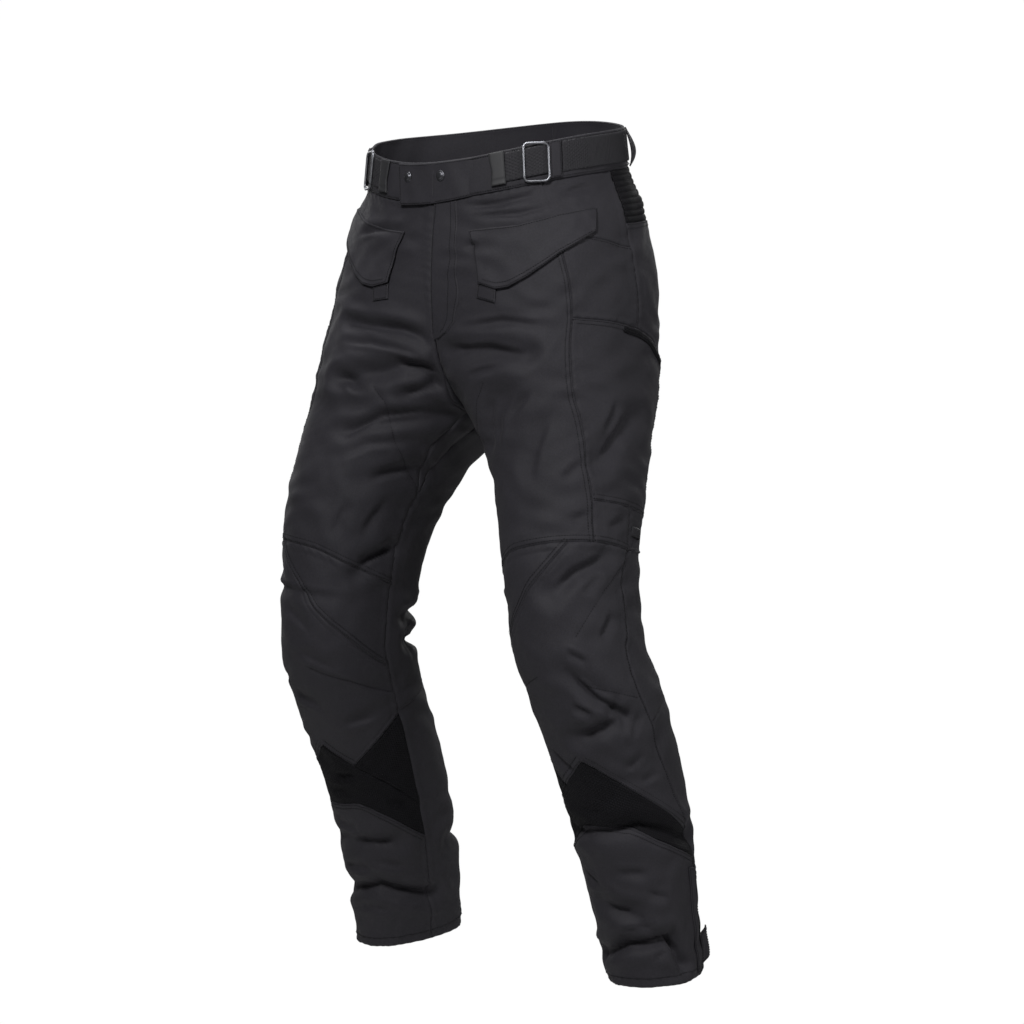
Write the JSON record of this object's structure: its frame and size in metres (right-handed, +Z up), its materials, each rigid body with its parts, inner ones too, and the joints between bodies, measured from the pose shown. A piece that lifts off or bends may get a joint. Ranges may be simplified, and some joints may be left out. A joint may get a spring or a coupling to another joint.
{
  "type": "motorcycle trousers",
  "caption": "Charcoal motorcycle trousers in their worn shape with no wearer: flap pockets, strap adjusters at the waist, shaped knees and black stretch panels.",
  "frame": {"origin": "middle of the waistband, where the wearer's waist holds the trousers", "axes": "+Z up along the legs, -Y to the wearer's front, +X to the wearer's left"},
  "size_m": [0.5373, 0.3346, 1.082],
  "materials": {
    "shell_cloth": "matt charcoal plain weave",
    "stretch_panel": "near black stretch rib",
    "webbing": "woven elastic webbing",
    "buckle_metal": "satin gunmetal",
    "snap_metal": "dark satin",
    "clip_metal": "grey satin"
  },
  "bodies": {
    "root": {"back_calf_left": "shell_cloth", "back_calf_right": "shell_cloth", "back_stretch_left": "stretch_panel", "back_stretch_right": "stretch_panel", "back_thigh_left": "shell_cloth", "back_thigh_right": "shell_cloth", "calf_gusset_left": "stretch_panel", "calf_gusset_right": "stretch_panel", "cargo_pocket_left": "shell_cloth", "cargo_pocket_right": "shell_cloth", "flap_pull_left": "shell_cloth", "flap_pull_right": "shell_cloth", "fly_flap": "shell_cloth", "front_thigh_left": "shell_cloth", "front_thigh_right": "shell_cloth", "hem_tab_left": "shell_cloth", "hem_tab_right": "shell_cloth", "hip_side_left": "shell_cloth", "hip_side_right": "shell_cloth", "keeper_loop_left": "shell_cloth", "keeper_loop_right": "shell_cloth", "knee_gusset_left": "stretch_panel", "knee_gusset_right": "stretch_panel", "knee_inner_left": "shell_cloth", "knee_inner_right": "shell_cloth", "knee_main_left": "shell_cloth", "knee_main_right": "shell_cloth", "knee_stretch_left": "stretch_panel", "knee_stretch_right": "stretch_panel", "pocket_binding_left": "stretch_panel", "pocket_binding_right": "stretch_panel", "pocket_flap_left": "shell_cloth", "pocket_flap_right": "shell_cloth", "pocket_loop_left": "shell_cloth", "pocket_loop_right": "shell_cloth", "rear_loop_left": "shell_cloth", "rear_loop_right": "shell_cloth", "ring_buckle_left": "buckle_metal", "ring_buckle_right": "buckle_metal", "shin_left": "shell_cloth", "shin_right": "shell_cloth", "side_elastic_left": "webbing", "side_elastic_right": "webbing", "side_lower_left": "shell_cloth", "side_lower_right": "shell_cloth", "side_rear_left": "shell_cloth", "side_rear_right": "shell_cloth", "side_yoke_left": "shell_cloth", "side_yoke_right": "shell_cloth", "snap_inner": "snap_metal", "snap_outer": "snap_metal", "strap_clip_left": "clip_metal", "strap_clip_right": "clip_metal", "strap_end_left": "webbing", "strap_end_right": "webbing", "waist_tab": "shell_cloth", "waistband_left": "shell_cloth", "waistband_right": "shell_cloth", "zip_placket_left": "shell_cloth", "zip_placket_right": "shell_cloth"}
  },
  "joints": []
}
